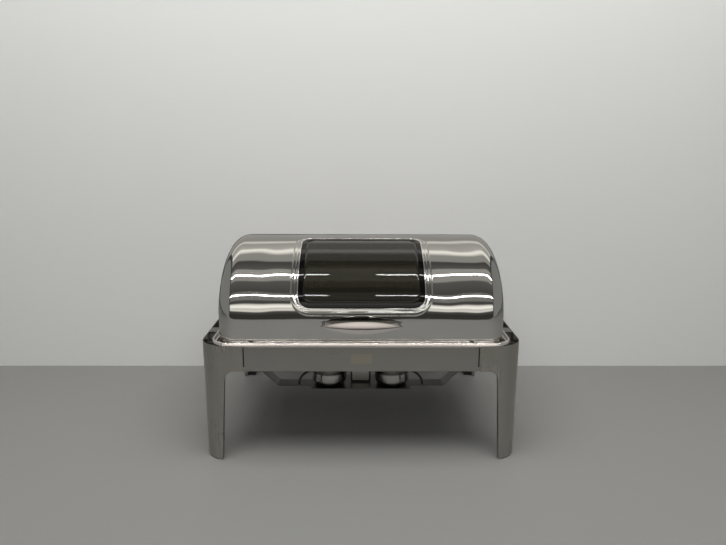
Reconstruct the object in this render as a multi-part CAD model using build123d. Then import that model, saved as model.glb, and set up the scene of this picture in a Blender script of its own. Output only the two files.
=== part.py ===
from build123d import *
import os
from math import cos, radians, sin

# Roll top chafer, in millimetres.
# X runs left to right, Y runs front to back and Z is up.
# The origin is at floor level, in the middle of the overall width and depth.

# ---------------------------------------------------------------- overall
FRAME_WIDTH = 660.0
FRAME_DEPTH = 490.0
FRAME_TOP = 253.0
HANDLE_REACH = 20.0
RIM_OVERHANG = 2.5
FRONT = (HANDLE_REACH - FRAME_DEPTH - RIM_OVERHANG) / 2
BACK = FRONT + FRAME_DEPTH
FRAME_MID = FRONT + FRAME_DEPTH / 2
HALF_WIDTH = FRAME_WIDTH / 2
SHEET = 1.2

# ---------------------------------------------------------------- end panels and legs
CORNER_RADIUS = 48.0
ARCH_HEIGHT = 198.0
ARCH_FILLET = 20.0
SEAM_GAP = 0.6
SKIRT_HALF = 238.5
LEG_WIDTH_TOP = 52.0
LEG_WIDTH_FOOT = 39.0
RETURN_DEPTH = 9.0
SOLE = 1.5
PAD_HEIGHT = 5.0
PAD_INSET = 8.0

# ---------------------------------------------------------------- skirts
SKIRT_TOP_FLANGE = 22.0
SKIRT_BOTTOM_FLANGE = 14.0
TAB_INNER = 215.0
TAB_OUTER = 262.0
TAB_LEVELS = (206.0, 247.0)
NUT_X = 250.0
NUT_RADIUS = 4.5
NUT_HEIGHT = 5.0
NUT_LEVELS = (213.0, 238.0)
BADGE_SIZE = (43.0, 21.0)
BADGE_LEVEL = 225.0
BADGE_THICKNESS = 0.6

# ---------------------------------------------------------------- surround with rolled rim
ROLL_RADIUS = 3.1
ROLL_LEVEL = 256.4
RIM_HALF_WIDTH = 308.5
RIM_CORNER = 38.0
OPENING_HALF = 299.0
OPENING_FRONT = FRONT + 24.0
OPENING_CORNER = 8.0
BRACKET_WIDTH = 30.0
BRACKET_DROP = 30.0
BRACKET_OFFSET = 140.0
BUMPER_X = 225.0
BUMPER_RADIUS = 5.0

# ---------------------------------------------------------------- lid
PIVOT_Y = FRONT + 212.0
PIVOT_Z = 243.0
LID_DEPTH_HALF = 201.0
LID_HALF = 295.0
LID_FILLET = 38.0
LID_EDGE = 256.0
LID_STRIP_TOP = 300.0
LID_RISE = 144.0
LID_SWEEP = 217.5
LID_FACE = PIVOT_Y - LID_DEPTH_HALF
OPENING_BACK = PIVOT_Y + LID_SWEEP + 4.5
WINDOW_HALF = 128.5
WINDOW_LOW = 11.0
WINDOW_HIGH = 78.5
WINDOW_CORNER = 25.0
GASKET_WIDTH = 10.0
TRIM_WIDTH = 2.4
BOSS_MARGIN = 14.5
BOSS_RISE = 2.0
GLASS = 3.0

# ---------------------------------------------------------------- lid handle
HANDLE_LEVEL = 295.5
HANDLE_HALF = 84.0
HANDLE_HEIGHT = 25.0
HANDLE_BOW = 9.0
HANDLE_PLATE = 6.0
POST_X = 77.0
POST_RADIUS = 3.0
SCREW_HEAD = (5.0, 3.0)

# ---------------------------------------------------------------- lid pivots
PIN_RADIUS = 4.0
BUSH_CLEARANCE = 0.05
BUSH_RADIUS = 6.0
EAR_HALF = 14.0
EAR_TOP = 300.0
EAR_SHEET = 2.0
EAR_RIVETS = (272.0, 288.0)
RIVET_HEAD = (3.5, 2.0)
PIN_HEAD = (6.0, 3.0)
PIN_TAIL = 10.0
PIVOT_NUT = (7.5, 6.0)
RAIL_OUTER = 286.0
RAIL_THICKNESS = 4.0
PIVOT_PLATE = 302.0
PIVOT_PLATE_SHEET = 3.0
PIVOT_BRACKET_HALF = 25.0
PIVOT_BRACKET_Z = (-28.0, 7.0)
STOP_RADIUS = 4.0
STOP_DISTANCE = 40.0
STOP_GAP = 0.3
STOP_END_GAP = 0.8

# ---------------------------------------------------------------- pans and their cradle
CRADLE_TOP = 250.0
CRADLE_HEIGHT = 32.0
CRADLE_HALF_Y = 180.0
CRADLE_CORNER = 24.0
ARM_LEVEL = 235.0
ARM_THICKNESS = 3.0
ARM_WIDTH = 26.0
ARM_SETBACK = 26.0
ARM_TAB = 22.0
WATER_RIM = (570.0, 359.0)
WATER_BODY = (514.4, 308.4)
WATER_DEPTH = 75.0
FOOD_RIM = (530.0, 325.0)
FOOD_BODY = (498.0, 293.0)
FOOD_DEPTH = 58.0
PAN_CORNER = 32.0
PAN_SHEET = 1.0
PAN_BOTTOM_FILLET = 14.0

# ---------------------------------------------------------------- burner bar and burners
BAR_WIDTH = 37.0
BAR_THICKNESS = 2.0
BAR_BOTTOM = 82.0
BAR_KNEE = 165.0
BAR_FLAT_HALF = 197.0
BAR_TOP = 234.0
BAR_BEND = 14.0
BAR_SCREW_LEVEL = 226.0
BAR_SCREW_OFFSET = 13.0
BAR_SCREW_HEAD = (4.0, 3.0)
PLATFORM_HALF = (118.0, 43.0)
PLATFORM_SHEET = 2.0
PLATFORM_CORNER = 10.0
CENTRE_PLATE = (48.0, 38.0)
PLATE_SHEET = 2.0
PLATE_FRAME = 4.0
PLATE_FOOT = 13.0
CUP_X = 75.0
CUP_RADIUS = 41.0
CUP_HEIGHT = 60.0
CUP_WALL = 1.5
CUP_ROUND = 14.0
COVER_GAP = 1.0
COVER_SHEET = 1.2
COVER_SKIRT_LEVEL = 118.0
FLAME_HOLE = 20.0
FLAME_OFFSET = 16.0
COVER_CORNER = 2.0
HANDLE_TOP_LEVEL = 127.0
HANDLE_TIP_LEVEL = 98.0
HANDLE_KNEE = (19.0, 7.0)
COVER_HANDLE_REACH = 88.0
COVER_HANDLE_TURN = 35.0
COVER_HANDLE_RADIUS = 3.5

SIDES = {"left": -1, "right": 1}
PLATFORM_LEVEL = BAR_BOTTOM + BAR_THICKNESS
CUP_LEVEL = PLATFORM_LEVEL + PLATFORM_SHEET
BURNER_Y = PIVOT_Y


def block(x, y, z):
    """A box between two corners, given as (low, high) pairs in any order."""
    low = [min(pair) for pair in (x, y, z)]
    size = [abs(pair[1] - pair[0]) for pair in (x, y, z)]
    return Pos(*low) * Box(*size, align=(Align.MIN, Align.MIN, Align.MIN))


def rod_x(x, y, z, radius):
    """A cylinder along X from x[0] to x[1]."""
    length = abs(x[1] - x[0])
    return Pos((x[0] + x[1]) / 2, y, z) * Rot(0, 90, 0) * Cylinder(radius, length)


def rod_y(x, y, z, radius):
    """A cylinder along Y from y[0] to y[1]."""
    length = abs(y[1] - y[0])
    return Pos(x, (y[0] + y[1]) / 2, z) * Rot(90, 0, 0) * Cylinder(radius, length)


def rod_z(x, y, z, radius):
    """A cylinder along Z from z[0] to z[1]."""
    length = abs(z[1] - z[0])
    return Pos(x, y, (z[0] + z[1]) / 2) * Cylinder(radius, length)


def rounded_block(width, depth, radius, z, centre_y=0.0):
    """An upright block with rounded vertical corners, from z[0] to z[1]."""
    outline = Pos(0, centre_y, z[0]) * RectangleRounded(width, depth, radius)
    return extrude(outline, z[1] - z[0])


# ================================================================ frame
def frame_wall(inset, thickness, z):
    """A rounded rectangular wall that follows the frame's outline in plan."""
    outer_radius = CORNER_RADIUS - inset
    width = FRAME_WIDTH - 2 * inset
    depth = FRAME_DEPTH - 2 * inset
    outer = rounded_block(width, depth, outer_radius, z, FRAME_MID)
    inner = rounded_block(
        width - 2 * thickness, depth - 2 * thickness, outer_radius - thickness, z, FRAME_MID
    )
    return outer - inner


def arch_outline(half_span, grow=0.0):
    """The opening under one side of the frame, drawn flat, with its top corners rounded."""
    top = half_span - LEG_WIDTH_TOP + grow
    foot = half_span - LEG_WIDTH_FOOT + grow
    height = ARCH_HEIGHT + grow
    outline = make_face(Polyline((-foot, 0), (foot, 0), (top, height), (-top, height), close=True))
    corners = outline.vertices().sort_by(Axis.Y)[-2:]
    return fillet(corners, ARCH_FILLET + grow)


def arch_block(half_span, grow, along_x):
    """The arch opening as a prism through the whole frame."""
    plane = Plane.YZ if along_x else Plane.XZ
    outline = plane * arch_outline(half_span, grow)
    prism = extrude(outline, FRAME_WIDTH, both=True)
    return Pos(0, FRAME_MID, 0) * prism


def end_panel(side):
    """One end of the frame: a sheet bent round two legs, with return flanges on its arches."""
    z = (SOLE, FRAME_TOP)
    across = arch_block(HALF_WIDTH, 0, False)
    along = arch_block(FRAME_DEPTH / 2, 0, True)
    wall = frame_wall(0, SHEET, z) - across - along
    ring = frame_wall(SHEET, RETURN_DEPTH - SHEET, z)
    returns = ring & (arch_block(HALF_WIDTH, SHEET, False) - across)
    side_returns = ring & (arch_block(FRAME_DEPTH / 2, SHEET, True) - along)
    panel = wall + returns + side_returns
    inner = SKIRT_HALF + SEAM_GAP
    half = block((side * inner, side * HALF_WIDTH), (FRONT, BACK), (0, FRAME_TOP))
    return panel & half


def foot_pad(side, end):
    """A moulded foot pressed into the bottom of one leg, with a thin sole under the sheet."""
    inner_x = HALF_WIDTH - LEG_WIDTH_FOOT + PAD_INSET
    inner_y = FRAME_DEPTH / 2 - LEG_WIDTH_FOOT + PAD_INSET
    corner = block(
        (side * inner_x, side * HALF_WIDTH),
        (FRAME_MID + end * inner_y, FRAME_MID + end * FRAME_DEPTH / 2),
        (0, PAD_HEIGHT),
    )
    sole = rounded_block(FRAME_WIDTH, FRAME_DEPTH, CORNER_RADIUS, (0, SOLE), FRAME_MID)
    plug = rounded_block(
        FRAME_WIDTH - 2 * SHEET, FRAME_DEPTH - 2 * SHEET, CORNER_RADIUS - SHEET, (0, PAD_HEIGHT), FRAME_MID
    )
    pad = (sole & corner) + (plug & corner)
    above_sole = block((-HALF_WIDTH, HALF_WIDTH), (FRONT, BACK), (SOLE, PAD_HEIGHT))
    for arch in (arch_block(HALF_WIDTH, SHEET, False), arch_block(FRAME_DEPTH / 2, SHEET, True)):
        pad -= arch & above_sole
    return pad


def skirt():
    """The front skirt: a channel with flanges turned inward and tabs behind both end panels."""
    web = block((-SKIRT_HALF, SKIRT_HALF), (FRONT, FRONT + SHEET), (ARCH_HEIGHT, FRAME_TOP))
    top = block(
        (-SKIRT_HALF, SKIRT_HALF), (FRONT, FRONT + SKIRT_TOP_FLANGE), (FRAME_TOP - SHEET, FRAME_TOP)
    )
    bottom = block(
        (-SKIRT_HALF, SKIRT_HALF), (FRONT, FRONT + SKIRT_BOTTOM_FLANGE), (ARCH_HEIGHT, ARCH_HEIGHT + SHEET)
    )
    channel = web + top + bottom
    for side in SIDES.values():
        channel += block(
            (side * TAB_INNER, side * TAB_OUTER), (FRONT + SHEET, FRONT + 2 * SHEET), TAB_LEVELS
        )
    return channel


def skirt_nuts():
    """The four nuts that clamp a skirt's tabs to the end panels."""
    nuts = []
    for side in SIDES.values():
        for level in NUT_LEVELS:
            start = FRONT + 2 * SHEET
            nuts.append(rod_y(side * NUT_X, (start, start + NUT_HEIGHT), level, NUT_RADIUS))
    return Compound(children=nuts)


def to_rear(shape):
    """The same shape turned to the rear of the frame."""
    return Pos(0, FRAME_MID, 0) * Rot(0, 0, 180) * Pos(0, -FRAME_MID, 0) * shape


def badge():
    """A plain, thin nameplate with nothing on it."""
    width, height = BADGE_SIZE
    plate = block(
        (-width / 2, width / 2),
        (FRONT - BADGE_THICKNESS, FRONT),
        (BADGE_LEVEL - height / 2, BADGE_LEVEL + height / 2),
    )
    return plate


# ================================================================ surround
def surround():
    """The flat ring that carries the lid's bumpers, with a round rolled rim along its edge."""
    rim_front = FRONT - RIM_OVERHANG
    rim_depth = FRAME_DEPTH + 2 * RIM_OVERHANG
    centre = rim_front + rim_depth / 2
    width = 2 * (RIM_HALF_WIDTH - ROLL_RADIUS)
    depth = rim_depth - 2 * ROLL_RADIUS
    radius = RIM_CORNER - ROLL_RADIUS
    plate = rounded_block(width, depth, radius, (FRAME_TOP, FRAME_TOP + SHEET), centre)
    opening_mid = (OPENING_FRONT + OPENING_BACK) / 2
    opening = rounded_block(
        2 * OPENING_HALF,
        OPENING_BACK - OPENING_FRONT,
        OPENING_CORNER,
        (FRAME_TOP - 1, FRAME_TOP + SHEET + 1),
        opening_mid,
    )
    path = (Pos(0, centre, ROLL_LEVEL) * RectangleRounded(width, depth, radius)).face().outer_wire()
    start = Plane(origin=(0, centre - depth / 2, ROLL_LEVEL), z_dir=(1, 0, 0))
    roll = sweep(start * Circle(ROLL_RADIUS), path=path)
    return (plate - opening) + roll


def surround_bracket(side, end):
    """An angle that ties the surround's side to the end panel."""
    y_mid = FRAME_MID + end * BRACKET_OFFSET
    y = (y_mid - BRACKET_WIDTH / 2, y_mid + BRACKET_WIDTH / 2)
    inner_face = HALF_WIDTH - SHEET
    shelf = block((side * (OPENING_HALF + 0.5), side * inner_face), y, (FRAME_TOP - 2, FRAME_TOP))
    drop = block((side * (inner_face - 2), side * inner_face), y, (FRAME_TOP - BRACKET_DROP, FRAME_TOP))
    return shelf + drop


def lid_bumper(side):
    """A rubber button on the surround, under the lid's front edge."""
    y = LID_FACE + SHEET / 2
    return rod_z(side * BUMPER_X, y, (FRAME_TOP + SHEET, LID_EDGE), BUMPER_RADIUS)


# ================================================================ lid
def lid_solid(inset):
    """The lid's outer form as a solid: upright sides, an elliptical top and rounded ends."""
    half = LID_DEPTH_HALF - inset
    rise = LID_RISE - inset
    length = LID_HALF - inset
    bottom = LID_EDGE - 20
    sides = Polyline(
        (PIVOT_Y - half, LID_STRIP_TOP),
        (PIVOT_Y - half, bottom),
        (PIVOT_Y + half, bottom),
        (PIVOT_Y + half, LID_STRIP_TOP),
    )
    top = EllipticalCenterArc((PIVOT_Y, LID_STRIP_TOP), half, rise, start_angle=0, arc_size=180)
    body = extrude(Plane.YZ * make_face([sides, top]), length, both=True)
    end_edges = body.edges().filter_by(lambda edge: abs(edge.center().X) > length - 0.1)
    rims = end_edges.filter_by(lambda edge: edge.center().Z > bottom + 1)
    return fillet(rims, LID_FILLET - inset)


def lid_band(low, high):
    """A layer that follows the lid's form, between two heights above its outer face."""
    return lid_solid(-high) - lid_solid(-low)


def lid_outline_point(angle):
    """A point on the lid's elliptical outline as (Y, Z), at an angle of the ellipse."""
    y = PIVOT_Y - LID_DEPTH_HALF * cos(radians(angle))
    return Vector(0, y, LID_STRIP_TOP + LID_RISE * sin(radians(angle)))


def window_prism(margin):
    """The window's rounded outline, grown by a margin and extruded square to its chord."""
    low = lid_outline_point(WINDOW_LOW)
    high = lid_outline_point(WINDOW_HIGH)
    chord = high - low
    outward = Vector(0, -chord.Z, chord.Y).normalized()
    inside = (low + high) * 0.5 - outward * 40
    plane = Plane(origin=inside, x_dir=(1, 0, 0), z_dir=outward)
    height = chord.length + 2 * margin
    outline = plane * RectangleRounded(2 * (WINDOW_HALF + margin), height, WINDOW_CORNER + margin)
    return extrude(outline, 140)


def lid_shell():
    """The half-drum lid, drawn from sheet, with a raised panel round its window."""
    shell = lid_band(-SHEET, 0)
    raised = lid_band(-SHEET, BOSS_RISE) & window_prism(BOSS_MARGIN)
    shell = (shell + raised) - window_prism(0)
    above = block(
        (-LID_HALF, LID_HALF),
        (LID_FACE - 5, PIVOT_Y + LID_DEPTH_HALF + 5),
        (LID_EDGE, LID_STRIP_TOP + LID_RISE + 5),
    )
    return shell & above


def window_ring(outer_margin, inner_margin, low, high):
    """A closed frame that follows the lid's curve round the window."""
    ring = window_prism(outer_margin) - window_prism(inner_margin)
    return lid_band(low, high) & ring


def window_glass():
    """The smoked glass, bent to the lid's curve."""
    return lid_band(-0.6, GLASS - 0.6) & window_prism(-GASKET_WIDTH)


def window_gasket():
    """The black seal that holds the glass in the lid."""
    return window_ring(0, -GASKET_WIDTH, -SHEET, BOSS_RISE + 1)


def window_trim():
    """The thin bright frame on the raised panel round the seal."""
    return window_ring(TRIM_WIDTH, 0, BOSS_RISE, BOSS_RISE + 1.4)


def handle_slab(front, back):
    """A bowed upright slab: its middle stands further forward than its ends."""
    outline = make_face(
        [
            ThreePointArc((-HANDLE_HALF, front + HANDLE_BOW), (0, front), (HANDLE_HALF, front + HANDLE_BOW)),
            Line((HANDLE_HALF, front + HANDLE_BOW), (HANDLE_HALF, back + HANDLE_BOW)),
            ThreePointArc((HANDLE_HALF, back + HANDLE_BOW), (0, back), (-HANDLE_HALF, back + HANDLE_BOW)),
            Line((-HANDLE_HALF, back + HANDLE_BOW), (-HANDLE_HALF, front + HANDLE_BOW)),
        ]
    )
    return extrude(Pos(0, 0, HANDLE_LEVEL - HANDLE_HEIGHT) * outline, 2 * HANDLE_HEIGHT)


def lid_handle():
    """The grip: a bowed plate with a lens-shaped outline."""
    half = HANDLE_HEIGHT / 2
    lens = make_face(
        [
            ThreePointArc((-HANDLE_HALF, 0), (0, half), (HANDLE_HALF, 0)),
            ThreePointArc((HANDLE_HALF, 0), (0, -half), (-HANDLE_HALF, 0)),
        ]
    )
    face = Plane(origin=(0, FRONT, HANDLE_LEVEL), x_dir=(1, 0, 0), z_dir=(0, -1, 0)) * lens
    front = FRONT - HANDLE_REACH
    return extrude(face, 60, both=True) & handle_slab(front, front + HANDLE_PLATE)


def handle_post(side):
    """A round spacer between the lid's face and the grip."""
    start = FRONT - HANDLE_REACH
    post = rod_y(side * POST_X, (start, LID_FACE), HANDLE_LEVEL, POST_RADIUS)
    return post - handle_slab(start - HANDLE_BOW, start + HANDLE_PLATE)


def handle_screws():
    """The heads of the two screws that hold the posts from inside the lid."""
    radius, height = SCREW_HEAD
    start = LID_FACE + SHEET
    y = (start, start + height)
    heads = [rod_y(side * POST_X, y, HANDLE_LEVEL, radius) for side in SIDES.values()]
    return Compound(children=heads)


# ================================================================ lid pivots
def lid_ear(side):
    """The hinge plate inside one end of the lid."""
    outer = LID_HALF - SHEET
    x = (side * (outer - EAR_SHEET), side * outer)
    y = (PIVOT_Y - EAR_HALF, PIVOT_Y + EAR_HALF)
    ear = block(x, y, (PIVOT_Z, EAR_TOP)) + rod_x(x, PIVOT_Y, PIVOT_Z, EAR_HALF)
    return ear - rod_x(x, PIVOT_Y, PIVOT_Z, BUSH_RADIUS)


def ear_rivets():
    """The heads of the rivets that join the ears to the lid's ends."""
    radius, height = RIVET_HEAD
    face = LID_HALF - SHEET - EAR_SHEET
    heads = []
    for side in SIDES.values():
        for level in EAR_RIVETS:
            heads.append(rod_x((side * face, side * (face - height)), PIVOT_Y, level, radius))
    return Compound(children=heads)


def pivot_bush(side):
    """The bush in one ear, which turns on the pivot pin."""
    x = (side * (RAIL_OUTER + 0.5), side * (PIVOT_PLATE - 0.5))
    bush = rod_x(x, PIVOT_Y, PIVOT_Z, BUSH_RADIUS)
    return bush - rod_x(x, PIVOT_Y, PIVOT_Z, PIN_RADIUS + BUSH_CLEARANCE)


def pivot_pin(side):
    """The fixed pin from the cradle's rail to the pivot bracket, with a head inside."""
    radius, height = PIN_HEAD
    head_face = RAIL_OUTER - RAIL_THICKNESS
    shank = rod_x((side * head_face, side * (PIVOT_PLATE + PIN_TAIL)), PIVOT_Y, PIVOT_Z, PIN_RADIUS)
    head = rod_x((side * (head_face - height), side * head_face), PIVOT_Y, PIVOT_Z, radius)
    return shank + head


def pivot_bracket(side):
    """The channel on the end panel that holds the outer end of the pin."""
    inner_face = HALF_WIDTH - SHEET
    low, high = PIVOT_BRACKET_Z
    z = (PIVOT_Z + low, PIVOT_Z + high)
    web_x = (side * PIVOT_PLATE, side * (PIVOT_PLATE + PIVOT_PLATE_SHEET))
    y_low = PIVOT_Y - PIVOT_BRACKET_HALF
    y_high = PIVOT_Y + PIVOT_BRACKET_HALF
    bracket = block(web_x, (y_low, y_high), z)
    for y in ((y_low, y_low + PIVOT_PLATE_SHEET), (y_high - PIVOT_PLATE_SHEET, y_high)):
        bracket += block((side * PIVOT_PLATE, side * inner_face), y, z)
    return bracket - rod_x(web_x, PIVOT_Y, PIVOT_Z, PIN_RADIUS)


def pivot_nut(side):
    """The hexagon nut on the outer end of the pin."""
    start = PIVOT_PLATE + PIVOT_PLATE_SHEET
    plane = Plane(origin=(side * start, PIVOT_Y, PIVOT_Z), x_dir=(0, 1, 0), z_dir=(side, 0, 0))
    radius, height = PIVOT_NUT
    nut = extrude(plane * RegularPolygon(radius, 6), height)
    return nut - rod_x((side * start, side * (start + height)), PIVOT_Y, PIVOT_Z, PIN_RADIUS)


def lid_stop(side):
    """The rubber-sleeved peg on the rail that the ear rests on when the lid is open."""
    level = PIVOT_Z - EAR_HALF - STOP_RADIUS - STOP_GAP
    x = (side * RAIL_OUTER, side * (LID_HALF - SHEET - STOP_END_GAP))
    return rod_x(x, PIVOT_Y + STOP_DISTANCE, level, STOP_RADIUS)


# ================================================================ pans and cradle
def cradle_ring():
    """The flat-bar ring that the water pan hangs in."""
    z = (CRADLE_TOP - CRADLE_HEIGHT, CRADLE_TOP)
    outer = rounded_block(2 * RAIL_OUTER, 2 * CRADLE_HALF_Y, CRADLE_CORNER, z, PIVOT_Y)
    inner = rounded_block(
        2 * (RAIL_OUTER - RAIL_THICKNESS),
        2 * (CRADLE_HALF_Y - RAIL_THICKNESS),
        CRADLE_CORNER - RAIL_THICKNESS,
        z,
        PIVOT_Y,
    )
    ring = outer - inner
    for side in SIDES.values():
        x = (side * (RAIL_OUTER - RAIL_THICKNESS), side * RAIL_OUTER)
        ring -= rod_x(x, PIVOT_Y, PIVOT_Z, PIN_RADIUS)
    return ring


def cradle_arm(side):
    """The bar from the front of the ring out to the end panel."""
    inner_face = HALF_WIDTH - SHEET
    front = PIVOT_Y - CRADLE_HALF_Y + ARM_SETBACK
    y = (front, front + ARM_WIDTH)
    z = (ARM_LEVEL, ARM_LEVEL + ARM_THICKNESS)
    bar = block((side * RAIL_OUTER, side * inner_face), y, z)
    tab = block((side * (inner_face - ARM_THICKNESS), side * inner_face), y, (ARM_LEVEL - ARM_TAB, ARM_LEVEL))
    return bar + tab


def pan(rim, body, depth, rim_level):
    """A deep-drawn pan: a round-cornered tub under a flat rim that starts at rim_level."""
    top = rim_level + PAN_SHEET
    floor = rim_level - depth
    tub = rounded_block(body[0], body[1], PAN_CORNER, (floor, top), PIVOT_Y)
    tub = fillet(tub.faces().sort_by(Axis.Z)[0].edges(), PAN_BOTTOM_FILLET)
    lip = rounded_block(rim[0], rim[1], PAN_CORNER - 8, (rim_level, top), PIVOT_Y)
    inside = rounded_block(
        body[0] - 2 * PAN_SHEET,
        body[1] - 2 * PAN_SHEET,
        PAN_CORNER - PAN_SHEET,
        (floor + PAN_SHEET, top),
        PIVOT_Y,
    )
    inside = fillet(inside.faces().sort_by(Axis.Z)[0].edges(), PAN_BOTTOM_FILLET - PAN_SHEET)
    return (tub + lip) - inside


# ================================================================ burners
def burner_bar():
    """The bent strap that hangs from the cradle and carries the burners."""
    outer_x = RAIL_OUTER - RAIL_THICKNESS
    points = [
        (-outer_x, CRADLE_TOP),
        (-outer_x, BAR_KNEE),
        (-BAR_FLAT_HALF, BAR_BOTTOM),
        (BAR_FLAT_HALF, BAR_BOTTOM),
        (outer_x, BAR_KNEE),
        (outer_x, CRADLE_TOP),
    ]
    outline = make_face(Polyline(*points, close=True))
    bends = outline.vertices().sort_by(Axis.Y)[:4]
    outline = fillet(bends, BAR_BEND)
    strip = outline - offset(outline, -BAR_THICKNESS)
    front = BURNER_Y - BAR_WIDTH / 2
    plane = Plane(origin=(0, front, 0), x_dir=(1, 0, 0), z_dir=(0, -1, 0))
    strap = extrude(plane * strip, -BAR_WIDTH)
    keep = block((-outer_x, outer_x), (front, front + BAR_WIDTH), (BAR_BOTTOM, BAR_TOP))
    return strap & keep


def burner_platform():
    """The plate on the strap that both burners stand on."""
    half_x, half_y = PLATFORM_HALF
    return rounded_block(2 * half_x, 2 * half_y, PLATFORM_CORNER, (PLATFORM_LEVEL, CUP_LEVEL), BURNER_Y)


def centre_plate():
    """The framed upright plate between the burners."""
    width, height = CENTRE_PLATE
    half = width / 2
    x = (-half, half)
    z = (CUP_LEVEL, CUP_LEVEL + height)
    front = BURNER_Y - PLATE_SHEET / 2
    back = BURNER_Y + PLATE_SHEET / 2
    plate = block(x, (front, back), z)
    foot = block(x, (front, front + PLATE_FOOT), (CUP_LEVEL, CUP_LEVEL + PLATE_SHEET))
    frame = block(x, (front - PLATE_SHEET, front), z)
    panel = block(
        (PLATE_FRAME - half, half - PLATE_FRAME),
        (front - PLATE_SHEET, front),
        (CUP_LEVEL + PLATE_FRAME, CUP_LEVEL + height - PLATE_FRAME),
    )
    return plate + foot + (frame - panel)


def bar_screws():
    """The heads of the screws that hold the strap to the cradle's rails."""
    radius, height = BAR_SCREW_HEAD
    face = RAIL_OUTER - RAIL_THICKNESS - BAR_THICKNESS
    heads = []
    for side in SIDES.values():
        x = (side * face, side * (face - height))
        for offset_y in (-BAR_SCREW_OFFSET, BAR_SCREW_OFFSET):
            heads.append(rod_x(x, BURNER_Y + offset_y, BAR_SCREW_LEVEL, radius))
    return Compound(children=heads)


def burner_cup(side):
    """The fuel cup, with a rounded bottom edge."""
    z = (CUP_LEVEL, CUP_LEVEL + CUP_HEIGHT)
    outer = rod_z(side * CUP_X, BURNER_Y, z, CUP_RADIUS)
    outer = fillet(outer.edges().sort_by(Axis.Z)[0], CUP_ROUND)
    inner = rod_z(side * CUP_X, BURNER_Y, (z[0] + CUP_WALL, z[1]), CUP_RADIUS - CUP_WALL)
    inner = fillet(inner.edges().sort_by(Axis.Z)[0], CUP_ROUND - CUP_WALL)
    return outer - inner


def flame_hole(side, z):
    """The off-centre hole that the flame comes through."""
    return rod_z(side * CUP_X, BURNER_Y + FLAME_OFFSET, z, FLAME_HOLE)


def burner_shutter(side):
    """The fixed disc in the mouth of the cup, under the turning cover."""
    top = CUP_LEVEL + CUP_HEIGHT - 1
    z = (top - COVER_SHEET, top)
    disc = rod_z(side * CUP_X, BURNER_Y, z, CUP_RADIUS - CUP_WALL)
    return disc - flame_hole(side, z)


def burner_cover(side):
    """The cover that turns on the cup to open or close the flame hole."""
    rest = CUP_LEVEL + CUP_HEIGHT + 0.3
    top = rest + COVER_SHEET
    inner_radius = CUP_RADIUS + COVER_GAP
    outer = rod_z(side * CUP_X, BURNER_Y, (COVER_SKIRT_LEVEL, top), inner_radius + COVER_SHEET)
    outer = fillet(outer.edges().sort_by(Axis.Z)[-1], COVER_CORNER)
    inner = rod_z(side * CUP_X, BURNER_Y, (COVER_SKIRT_LEVEL, rest), inner_radius)
    return outer - inner - flame_hole(side, (rest, top))


def cover_handle(side):
    """The black handle that curves out and down from the cover's skirt, turned towards the front."""
    skirt_radius = CUP_RADIUS + COVER_GAP + COVER_SHEET
    out, down = HANDLE_KNEE
    path = Plane.XZ * ThreePointArc(
        (side * (skirt_radius - COVER_HANDLE_RADIUS), HANDLE_TOP_LEVEL),
        (side * (skirt_radius + out), HANDLE_TOP_LEVEL - down),
        (side * (COVER_HANDLE_REACH - COVER_HANDLE_RADIUS), HANDLE_TIP_LEVEL),
    )
    section = Plane(origin=path @ 0, z_dir=path % 0) * Circle(COVER_HANDLE_RADIUS)
    grip = sweep(section, path=path) + Pos(*(path @ 1)) * Sphere(COVER_HANDLE_RADIUS)
    grip = Rot(0, 0, -side * COVER_HANDLE_TURN) * grip
    grip = Pos(side * CUP_X, BURNER_Y, 0) * grip
    return grip - rod_z(side * CUP_X, BURNER_Y, (CUP_LEVEL, CUP_LEVEL + CUP_HEIGHT), skirt_radius)


# ================================================================ all nodes
def all_nodes():
    """Every sub-part by its node name."""
    nodes = {
        "skirt_front": skirt(),
        "skirt_rear": to_rear(skirt()),
        "skirt_nuts_front": skirt_nuts(),
        "skirt_nuts_rear": to_rear(skirt_nuts()),
        "badge": badge(),
        "surround": surround(),
        "lid_shell": lid_shell(),
        "window_glass": window_glass(),
        "window_gasket": window_gasket(),
        "window_trim": window_trim(),
        "lid_handle": lid_handle(),
        "handle_screws": handle_screws(),
        "ear_rivets": ear_rivets(),
        "cradle_ring": cradle_ring(),
        "water_pan": pan(WATER_RIM, WATER_BODY, WATER_DEPTH, CRADLE_TOP),
        "food_pan": pan(FOOD_RIM, FOOD_BODY, FOOD_DEPTH, CRADLE_TOP + PAN_SHEET),
        "burner_bar": burner_bar(),
        "burner_platform": burner_platform(),
        "centre_plate": centre_plate(),
        "bar_screws": bar_screws(),
    }
    per_side = {
        "end_panel": end_panel,
        "lid_bumper": lid_bumper,
        "handle_post": handle_post,
        "lid_ear": lid_ear,
        "pivot_bush": pivot_bush,
        "pivot_pin": pivot_pin,
        "pivot_bracket": pivot_bracket,
        "pivot_nut": pivot_nut,
        "lid_stop": lid_stop,
        "cradle_arm": cradle_arm,
        "burner_cup": burner_cup,
        "burner_shutter": burner_shutter,
        "burner_cover": burner_cover,
        "cover_handle": cover_handle,
    }
    per_corner = {"foot_pad": foot_pad, "surround_bracket": surround_bracket}
    for side_name, side in SIDES.items():
        for name, make in per_side.items():
            nodes[f"{name}_{side_name}"] = make(side)
        for end_name, end in (("front", -1), ("rear", 1)):
            for name, make in per_corner.items():
                nodes[f"{name}_{end_name}_{side_name}"] = make(side, end)
    return nodes


os.makedirs("parts", exist_ok=True)
for node_name, node_shape in all_nodes().items():
    export_step(node_shape, f"parts/{node_name}.step")
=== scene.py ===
import bmesh
import bpy
from math import atan2, cos, degrees, hypot, pi, radians, sin, sqrt
from mathutils import Matrix, Vector


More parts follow.
